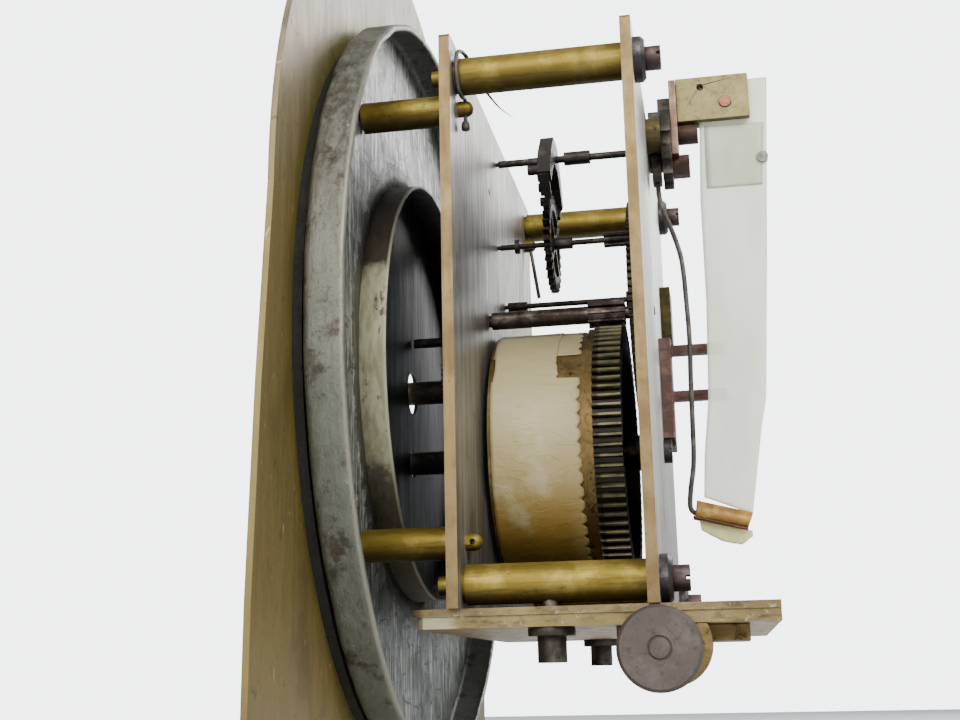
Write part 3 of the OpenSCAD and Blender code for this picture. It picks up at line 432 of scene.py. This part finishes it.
def film_look():
    """Yellowed film: cream above, golden below, with creases, foxing, painted shade on faces that look down, and a
    waxy sheen.
    """
    s = Surface("amber_film", 0.0)
    cloud = s.grain(12, detail=7)
    fibre = s.grain(1.4, (1, 5, 1), detail=7, rough=0.7)
    low = s.step(s.axis("Z"), 0.048, 0.016)
    colour = s.mix(srgb("#C2B283"), srgb("#9F7E35"), low)
    colour = s.mix(colour, srgb("#CFC49C"), s.step(cloud, 0.5, 0.64, 0, 0.5))
    colour = s.mix(colour, srgb("#94783C"), s.step(fibre, 0.55, 0.72, 0, 0.35))
    spots = s.step(s.grain(3, detail=8, rough=0.8, twist=0.6), 0.645, 0.68, 0, 0.55)
    colour = s.mix(colour, srgb("#6E5426"), spots)
    # Painted shade: faces that look down are darkened.
    colour = s.mix(colour, srgb("#5C4620"), s.step(s.facing("Z"), -0.55, -0.95, 0, 0.75))
    rear = s.step(s.axis("Y"), 0.0185, 0.0225)
    colour = s.mix(colour, srgb("#B9A676"), s.sum(rear, 0.4, "MULTIPLY"))
    creases = s.step(s.grain(6, (1, 3, 1), detail=2, twist=2.2), 0.485, 0.5)
    s.raise_by(creases, 0.05)
    s.raise_by(fibre, 0.05)
    s.raise_by(cloud, 0.4)
    s.shader.inputs["Coat Weight"].default_value = 0.2
    s.shader.inputs["Coat Roughness"].default_value = 0.4
    s.shader.inputs["Subsurface Weight"].default_value = 0.1
    s.shader.inputs["Subsurface Scale"].default_value = 0.001
    return s.done(colour, s.step(fibre, 0.3, 0.8, 0.38, 0.6))


def strip_look(name, tint, shade, alpha):
    """Translucent plastic strip with faint folds, dust and a soft gloss."""
    s = Surface(name, 0.0)
    cloud = s.grain(15, (1, 1, 3), detail=5)
    dust = s.grain(1.0, detail=7, rough=0.75)
    colour = s.mix(srgb(tint), srgb(shade), s.step(cloud, 0.42, 0.66))
    colour = s.mix(colour, srgb("#A9A595"), s.step(dust, 0.64, 0.74, 0, 0.4))
    folds = s.step(s.grain(9, (1, 2.5, 1), detail=1, twist=1.5), 0.49, 0.51)
    s.raise_by(folds, 0.02)
    s.raise_by(dust, 0.02)
    s.shader.inputs["Alpha"].default_value = alpha
    s.shader.inputs["Subsurface Weight"].default_value = 0.3
    s.shader.inputs["Subsurface Scale"].default_value = 0.002
    return s.done(colour, s.step(dust, 0.3, 0.8, 0.28, 0.48))


looks["plate"] = plate_look()
looks["seat"] = seat_look()
looks["mask"] = mask_look()
looks["pan"] = pan_look()
looks["pan_collar"] = collar_look()
looks["great_wheel"] = great_wheel_look()
looks["film"] = film_look()
looks["leaf"] = strip_look("leaf_film", "#ECEBDD", "#DFDECE", 0.8)
looks["sleeve"] = strip_look("sleeve_film", "#D3D2BC", "#C2C1A8", 0.8)
looks["lip"] = strip_look("lip_film", "#E0D79C", "#CFC382", 0.8)

LOOK_OF = {
    "mask": ["dial_mask"],
    "gap_shadow_black": ["dial_spacer_ring"],
    "dial_back": ["dial_plate"],
    "pan": ["dial_pan"],
    "pan_collar": ["pan_collar"],
    "plate": ["front_plate", "back_plate"],
    "pillar_brass": ["pillar_top_right", "pillar_top_left", "pillar_bottom_right", "pillar_bottom_left",
                     "dial_feet"],
    "dark_brass": ["cock_posts", "bushing_bar"],
    "lug_brass": ["seat_lug"],
    "block_brass": ["suspension_block"],
    "bracket_brass": ["suspension_bracket"],
    "seat": ["seat_plate_upper", "seat_plate_lower"],
    "dark_steel": ["foot_taper_pins", "seat_screws", "seat_washers", "winding_arbor", "third_arbor",
                   "escape_arbor", "pallet_arbor", "back_cock", "click_screw", "mainspring", "centre_stud",
                   "minute_stud"],
    "washer_steel": ["pillar_washers"],
    "crutch_steel": ["crutch", "foot_wire_pin"],
    "bright_steel": ["ratchet_wheel", "click", "click_spring"],
    "anchor_steel": ["pallet_anchor", "pallet_screws"],
    "screw_steel": ["pillar_screws"],
    "nut_steel": ["cock_fasteners"],
    "post_steel": ["guard_bracket"],
    "arbor_steel": ["centre_arbor"],
    "rivet_steel": ["leaf_rivet"],
    "wheel_brass": ["barrel_drum", "barrel_cap"],
    "dark_wheel": ["centre_wheel", "motion_drive_wheel", "third_wheel", "escape_wheel", "cannon_pinion",
                   "minute_wheel", "hour_wheel"],
    "great_wheel": ["great_wheel"],
    "film": ["barrel_film"],
    "knob_steel": ["thumb_screw"],
    "copper_pin": ["suspension_pin"],
    "leaf": ["leaf"],
    "sleeve": ["leaf_sleeve"],
    "clip": ["leaf_clip"],
}
# Width in millimetres of the broken edge on nodes whose edges catch the light
SOFT_EDGES = {
    0.25: ["front_plate", "back_plate", "seat_plate_upper", "seat_plate_lower", "suspension_block", "seat_lug",
           "bushing_bar", "guard_bracket", "thumb_screw", "back_cock"],
    0.15: ["suspension_bracket", "cock_fasteners", "pillar_screws", "seat_screws", "pallet_anchor", "seat_washers",
           "pan_collar", "dial_mask", "click", "winding_arbor", "dial_feet"],
}


def dress_nodes():
    """Gives every node its look, and breaks the edges that catch the light."""
    for look, names in LOOK_OF.items():
        for name in names:
            data = nodes[name].data
            data.materials.clear()
            data.materials.append(looks[look])
    for width, names in SOFT_EDGES.items():
        for name in names:
            weld = nodes[name].modifiers.new("weld", "WELD")
            weld.merge_threshold = 1e-6
            edge = nodes[name].modifiers.new("broken_edge", "BEVEL")
            edge.width = width * MM
            edge.segments = 2
            edge.limit_method = "ANGLE"
            edge.angle_limit = math.radians(40)
            edge.harden_normals = False


dress_nodes()


# ---- pieces ----
def piece(name, points, faces, look, body, replaced=(), smooth=True):
    """A mesh piece in the row frame that rides on a body."""
    mesh = bpy.data.meshes.new(name)
    mesh.from_pydata([tuple(p) for p in points], [], faces)
    mesh.validate()
    made = bmesh.new()
    made.from_mesh(mesh)
    bmesh.ops.recalc_face_normals(made, faces=made.faces)
    made.to_mesh(mesh)
    made.free()
    mesh.materials.append(looks[look])
    if smooth:
        mesh.shade_smooth()
    obj = bpy.data.objects.new(name, mesh)
    bpy.context.scene.collection.objects.link(obj)
    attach(obj, body)
    if replaced:
        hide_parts(*replaced)
    return obj


def thicken(obj, thickness, offset=0.0):
    """Gives an open sheet a wall, in metres."""
    solid = obj.modifiers.new("thickness", "SOLIDIFY")
    solid.thickness = thickness
    solid.offset = offset


def grid_faces(rows, columns, closed=False):
    """Quads between rows of points; closed joins each row's last point to its first."""
    last = columns if closed else columns - 1
    return [(i * columns + j, i * columns + (j + 1) % columns, (i + 1) * columns + (j + 1) % columns,
             (i + 1) * columns + j) for i in range(rows - 1) for j in range(last)]


def rough(a, b, c, size, seed=0.0):
    """Smooth noise from -1 to 1 at a place given in millimetres, with bumps about size wide."""
    return noise.noise(Vector((a / size + seed, b / size - seed, c / size + 3.7 * seed)))


def smooth_route(route, steps=8):
    """Catmull-Rom curve through the points of route."""
    ends = [2 * route[0] - route[1]] + list(route) + [2 * route[-1] - route[-2]]
    line = []
    for a, b, c, d in zip(ends, ends[1:], ends[2:], ends[3:]):
        for k in range(steps):
            t = k / steps
            line.append(0.5 * (2 * b + (c - a) * t + (2 * a - 5 * b + 4 * c - d) * t ** 2
                               + (3 * b - a - 3 * c + d) * t ** 3))
    return line + [route[-1]]


def tube(name, route, radii, look, body, replaced=(), sides=16):
    """A round wire along route, closed at both ends; radii has one radius per point of route."""
    rings = []
    across = Vector((0.3, 0.1, 0.95))
    for i, p in enumerate(route):
        way = (route[min(i + 1, len(route) - 1)] - route[max(i - 1, 0)]).normalized()
        across = (across - across.dot(way) * way).normalized()
        other = way.cross(across)
        for k in range(sides):
            turn = 2 * math.pi * k / sides
            rings.append(p + radii[i] * (math.cos(turn) * across + math.sin(turn) * other))
    faces = grid_faces(len(route), sides, closed=True)
    faces.append(tuple(range(sides)))
    faces.append(tuple(len(rings) - 1 - k for k in range(sides)))
    return piece(name, rings, faces, look, body, replaced)


def make_pan():
    """The dented round pan: floor, wall and rolled rim, turned round the dial's axis."""
    low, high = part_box("dial_pan")
    outer = (high.x - low.x) / 2
    sheet = 0.8 * MM
    hole = (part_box("pan_collar")[1].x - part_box("pan_collar")[0].x) / 2 + 0.1 * MM
    profile = [(hole + (outer - 1.2 * MM - hole) * k / 12, high.y - 6.3 * MM - sheet) for k in range(13)]
    corner = 1.2 * MM
    for k in range(1, 5):
        turn = math.radians(22.5 * k)
        profile.append((outer - corner + corner * math.sin(turn), low.y + corner - corner * math.cos(turn)))
    profile += [(outer, low.y + corner + (high.y - low.y - corner - 0.4 * MM) * k / 5) for k in range(1, 6)]
    roll = 0.55 * MM
    for k in range(1, 7):
        turn = math.radians(30 * k)
        profile.append((outer - roll + roll * math.cos(turn), high.y - 0.4 * MM + 0.4 * MM * math.sin(turn)))
    around = 288
    points = []
    for r, y in profile:
        for j in range(around):
            turn = 2 * math.pi * j / around
            x, z = r * math.cos(turn), r * math.sin(turn)
            dent = rough(x / MM, 0, z / MM, 11, 1.3) + 0.5 * rough(x / MM, 0, z / MM, 4.5, 5.1)
            on_wall = max(0.0, min(1.0, (r - outer + 3 * MM) / (2 * MM)))
            shift = dent * 0.42 * MM * on_wall
            lift = max(0.0, dent) * 0.35 * MM * (1 - on_wall)
            if r < hole + 1.5 * MM:
                lift = 0.0
            points.append(Vector((DIAL.x + x * (1 + shift / r), y + lift, DIAL.z + z * (1 + shift / r))))
    faces = grid_faces(len(profile), around, closed=True)
    pan = piece("dial_pan_sheet", points, faces, "pan", "frame", ["dial_pan"])
    thicken(pan, 0.45 * MM, 0.0)


make_pan()


def make_film():
    """Film wound just over once round the drum, with a torn rear edge, a crease and a lifted end."""
    low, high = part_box("barrel_film")
    inner = 27.66 * MM
    around, across = 900, 26
    start, sweep = -318, 415
    notches = 29
    points = []
    for i in range(around + 1):
        angle = math.radians(start + sweep * i / around)
        over = max(0.0, sweep * i / around - 345) / 70
        layer = 0.14 * MM * min(1.0, over * 6)
        peel = 0.22 * MM * max(0.0, over - 0.72) / 0.28
        torn = rough(8 * angle, 0, 0, 1.0, 2.2) + 0.6 * rough(26 * angle, 0, 0, 1.0, 7.4)
        notch = abs(math.sin(notches * angle)) ** 6
        front = low.y + 0.35 * MM * (1 + rough(4 * angle, 0, 0, 1.0, 9.1)) * (0.5 if over == 0 else 1.6)
        rear = high.y - 0.15 * MM + 0.12 * MM * torn - 0.7 * MM * notch
        if over > 0:
            rear = high.y - 5.2 * MM + 0.5 * MM * torn
        for j in range(across + 1):
            y = front + (rear - front) * j / across
            ripple = rough(30 * angle, y / MM, 0, 4.5, 3.3)
            edge = abs(2 * j / across - 1) ** 6
            r = inner + layer + peel * (1 - j / across) + (0.06 + 0.05 * ripple) * MM + 0.04 * MM * edge
            points.append(Vector((BARREL.x + r * math.cos(angle), y, BARREL.z + r * math.sin(angle))))
    film = piece("barrel_film_wrap", points, grid_faces(around + 1, across + 1), "film", "barrel",
                 ["barrel_film"])
    thicken(film, 0.07 * MM, 1.0)


make_film()


def make_crutch():
    """The long bent steel wire that carries the pallets' swing down to the leaf's clip."""
    route = [(40.7, 101.6), (40.7, 98.5), (40.9, 95.7), (41.6, 92.5), (43.0, 88.6), (44.2, 84.6), (45.0, 81.0),
             (45.4, 76.6), (45.6, 71.0), (45.8, 64.6), (45.8, 59.2), (45.6, 53.0), (45.5, 47.4), (45.4, 41.4),
             (45.3, 36.2), (45.0, 32.0), (44.3, 28.0), (43.9, 25.0), (43.9, 23.2), (44.5, 22.2), (45.6, 21.9),
             (49.8, 21.9)]
    line = smooth_route([Vector((0, y * MM, SEAT_TOP + z * MM)) for y, z in route])
    radii = [0.57 * MM * (1 + 0.04 * rough(p.y / MM, p.z / MM, 0, 2.5)) for p in line]
    tube("crutch_wire", line, radii, "crutch_steel", "pallets", ["crutch"])


make_crutch()


def make_wire_pin():
    """A bent wire used as a pin: ball end, loop round the pillar, ground point."""
    pillar = middle("pillar_top_right")
    route = [(-2.5, 3.6, -10.6), (-2.5, 3.6, -8), (-2.5, 3.6, -5.7), (-2.5, 3.6, -4.2), (-1.6, 3.55, -3.98),
             (0.6, 3.4, -4.4), (3.2, 3.2, -3.5), (4.6, 3.2, -1.1), (4.7, 3.2, 1.6), (3.4, 3.3, 4.0),
             (0.8, 3.8, 5.2), (-2.2, 4.4, 5.0), (-4.6, 5.2, 3.2), (-5.9, 6.6, 0.6), (-6.2, 8.2, -2.0),
             (-5.6, 10.4, -5.1), (-4.3, 13.4, -8.2)]
    line = smooth_route([Vector((pillar.x + x * MM, y * MM, pillar.z + z * MM)) for x, y, z in route])
    taper = len(line) * 3 // 4
    thin = 0.42 * MM
    last = len(line) - 1
    radii = [thin if i < taper else thin * (1 - 0.9 * (i - taper) / (last - taper)) for i in range(len(line))]
    for i in range(7):
        bulge = math.sqrt(max(0.0, 1 - ((i - 2) / 4.6) ** 2))
        radii[i] = max(radii[i], 0.92 * MM * bulge)
    tube("foot_pin_wire", line, radii, "crutch_steel", "frame", ["foot_wire_pin"])


make_wire_pin()


def strip(name, outline_front, outline_rear, x, wave, look, replaced, across=14, rows=120):
    """A thin upright strip between two edges, each a list of (y, z) from bottom to top, in millimetres."""
    def at(edge, z):
        for (y0, z0), (y1, z1) in zip(edge, edge[1:]):
            if z <= z1:
                return y0 + (y1 - y0) * (z - z0) / (z1 - z0)
        return edge[-1][0]
    points = []
    for i in range(rows + 1):
        share = i / rows
        front_z = outline_front[0][1] + (outline_front[-1][1] - outline_front[0][1]) * share
        rear_z = outline_rear[0][1] + (outline_rear[-1][1] - outline_rear[0][1]) * share
        front = Vector((at(outline_front, front_z), front_z))
        rear = Vector((at(outline_rear, rear_z), rear_z))
        for j in range(across + 1):
            y, z = front + (rear - front) * (j / across)
            bow = wave * rough(y, z, 0, 17, 4.2) + 0.3 * wave * rough(y, z, 0, 5, 8.8)
            points.append(Vector(((x + bow) * MM, y * MM, SEAT_TOP + z * MM)))
    made = piece(name, points, grid_faces(rows + 1, across + 1), look, "suspension_leaf", replaced)
    thicken(made, 0.16 * MM)
    return made


LEAF_FRONT = [(47.0, 25.4), (47.6, 34.6), (49.2, 47.4), (50.1, 70), (50.2, 94.7), (51.0, 111.3), (51.4, 123.9)]
LEAF_REAR = [(57.3, 21.2), (59.2, 32.6), (60.6, 40.8), (61.9, 46.7), (64.3, 78), (66.4, 110), (67.3, 123.9)]


def make_leaf():
    """The hanging leaf and the doubled layer near its top."""
    strip("leaf_strip", LEAF_FRONT, LEAF_REAR, 0.0, 0.10, "leaf", ["leaf"])
    sleeve_front, sleeve_rear = [(51.9, 97.4), (52.1, 112.8)], [(64.6, 97.4), (65.9, 112.6)]
    for side, name in ((1, "near"), (-1, "far")):
        strip("leaf_sleeve_" + name, sleeve_front, sleeve_rear, side * 0.28, 0.03, "sleeve",
              ["leaf_sleeve"] if side == 1 else [], 8, 24)


make_leaf()


def make_clip():
    """The folded clip: a band of sheet closed round the leaf's end, a soldered seam and a torn film lip."""
    front, rear = Vector((45.4, 24.6)), Vector((57.3, 21.4))
    along = (rear - front) / 11.9
    down = Vector((along.y, -along.x)).normalized()
    columns = 30
    half, wall = 1.6, 0.35
    loop = [(-0.35, 0.4), (-half, 0.0), (-half, 3.3), (-half + 0.6, 4.1),
            (half - 0.6, 4.1), (half, 3.3), (half, 0.0), (0.35, 0.4)]
    points = []
    for i in range(columns + 1):
        share = i / columns
        start = front + (rear - front) * share
        for x, drop in loop:
            wobble = 0.12 * rough(share * 12, drop, x, 2.2, 6.0)
            y, z = start + down * (drop * (1 - 0.12 * share)) + along * (0.8 * (drop / 4.1) * (0.5 - share))
            points.append(Vector(((x * (0.94 + wobble)) * MM, y * MM, SEAT_TOP + z * MM)))
    band = piece("clip_band", points, grid_faces(columns + 1, len(loop)), "clip", "suspension_leaf",
                 ["leaf_clip"])
    thicken(band, wall * MM, -1.0)
    seam = [front + down * 3.75 + (rear - front) * (k / 10) * 0.98 for k in range(11)]
    for side in (-1, 1):
        line = smooth_route([Vector((side * 1.5 * MM, p.x * MM, SEAT_TOP + p.y * MM)) for p in seam], 3)
        tube("clip_seam_" + ("near" if side > 0 else "far"), line, [0.33 * MM] * len(line), "seam",
             "suspension_leaf", sides=8)
    lip_top = [(45.6, 20.6), (50.0, 19.4), (53.5, 18.4), (57.0, 17.6)]
    lip_low = [(46.0, 18.2), (50.3, 15.6), (54.5, 14.7), (57.0, 16.4)]
    rows, cols = 8, 24
    for side, name in ((0.5, "near"), (-0.5, "far")):
        points = []
        for i in range(rows + 1):
            for j in range(cols + 1):
                t = 3 * j / cols
                k = min(int(t), 2)
                top = Vector(lip_top[k]).lerp(Vector(lip_top[k + 1]), t - k)
                low = Vector(lip_low[k]).lerp(Vector(lip_low[k + 1]), t - k)
                y, z = top.lerp(low, i / rows)
                ragged = 0.2 * rough(y, z, side, 1.4, 2.0) * i / rows
                x = side + 0.15 * rough(y, z, side, 3)
                points.append(Vector((x * MM, y * MM, SEAT_TOP + (z + ragged) * MM)))
        lip = piece("clip_lip_" + name, points, grid_faces(rows + 1, cols + 1), "lip",
                    "suspension_leaf")
        thicken(lip, 0.14 * MM)


make_clip()


# ---- floor, light and background ----
def make_floor():
    """A plain pale floor under the lowest point."""
    size = FLOOR_HALF
    mesh = bpy.data.meshes.new("floor")
    z = FLOOR_Z - 0.0005
    mesh.from_pydata([(-size, -size, z), (size, -size, z), (size, size, z), (-size, size, z)], [], [(0, 1, 2, 3)])
    s = Surface("pale_floor")
    fine = s.grain(3, detail=6)
    mesh.materials.append(s.done(s.mix(srgb("#E4E6E8"), srgb("#EDEEEF"), fine), s.step(fine, 0.2, 0.8, 0.6, 0.8)))
    floor = bpy.data.objects.new("floor", mesh)
    bpy.context.scene.collection.objects.link(floor)


def area_light(name, place, target, size, power, colour):
    """A round soft lamp at place, aimed at target."""
    data = bpy.data.lights.new(name, "AREA")
    data.shape = "DISK"
    data.size = size
    data.energy = power
    data.color = colour
    lamp = bpy.data.objects.new(name, data)
    lamp.location = place
    lamp.rotation_euler = (Vector(target) - Vector(place)).to_track_quat("-Z", "Y").to_euler()
    bpy.context.scene.collection.objects.link(lamp)


def light_scene():
    """A white room: bright where the camera sees it, gentler as a light, with soft lamps from above."""
    world = bpy.data.worlds.new("studio")
    world.use_nodes = True
    tree = world.node_tree
    seen = tree.nodes.new("ShaderNodeBackground")
    seen.inputs[0].default_value = (0.93, 0.955, 1.0, 1)
    seen.inputs[1].default_value = SEEN_STRENGTH
    felt = tree.nodes["Background"]
    felt.inputs[0].default_value = (0.9, 0.94, 1.0, 1)
    felt.inputs[1].default_value = FELT_STRENGTH
    choose = tree.nodes.new("ShaderNodeMixShader")
    tree.links.new(tree.nodes.new("ShaderNodeLightPath").outputs["Is Camera Ray"], choose.inputs[0])
    tree.links.new(felt.outputs[0], choose.inputs[1])
    tree.links.new(seen.outputs[0], choose.inputs[2])
    tree.links.new(choose.outputs[0], tree.nodes["World Output"].inputs[0])
    bpy.context.scene.world = world
    heart = (0, 0.01, 0.06)
    area_light("window", (0.55, 0.5, 0.55), heart, 0.5, 9, (1.0, 0.98, 0.95))
    area_light("near_fill", (0.6, -0.15, 0.35), heart, 0.5, 4, (1.0, 0.97, 0.93))
    area_light("dial_fill", (-0.1, -0.8, 0.5), heart, 0.8, 7, (0.95, 0.97, 1.0))
    area_light("far_fill", (-0.7, 0.4, 0.5), heart, 0.6, 6, (1.0, 1.0, 1.0))


make_floor()
light_scene()
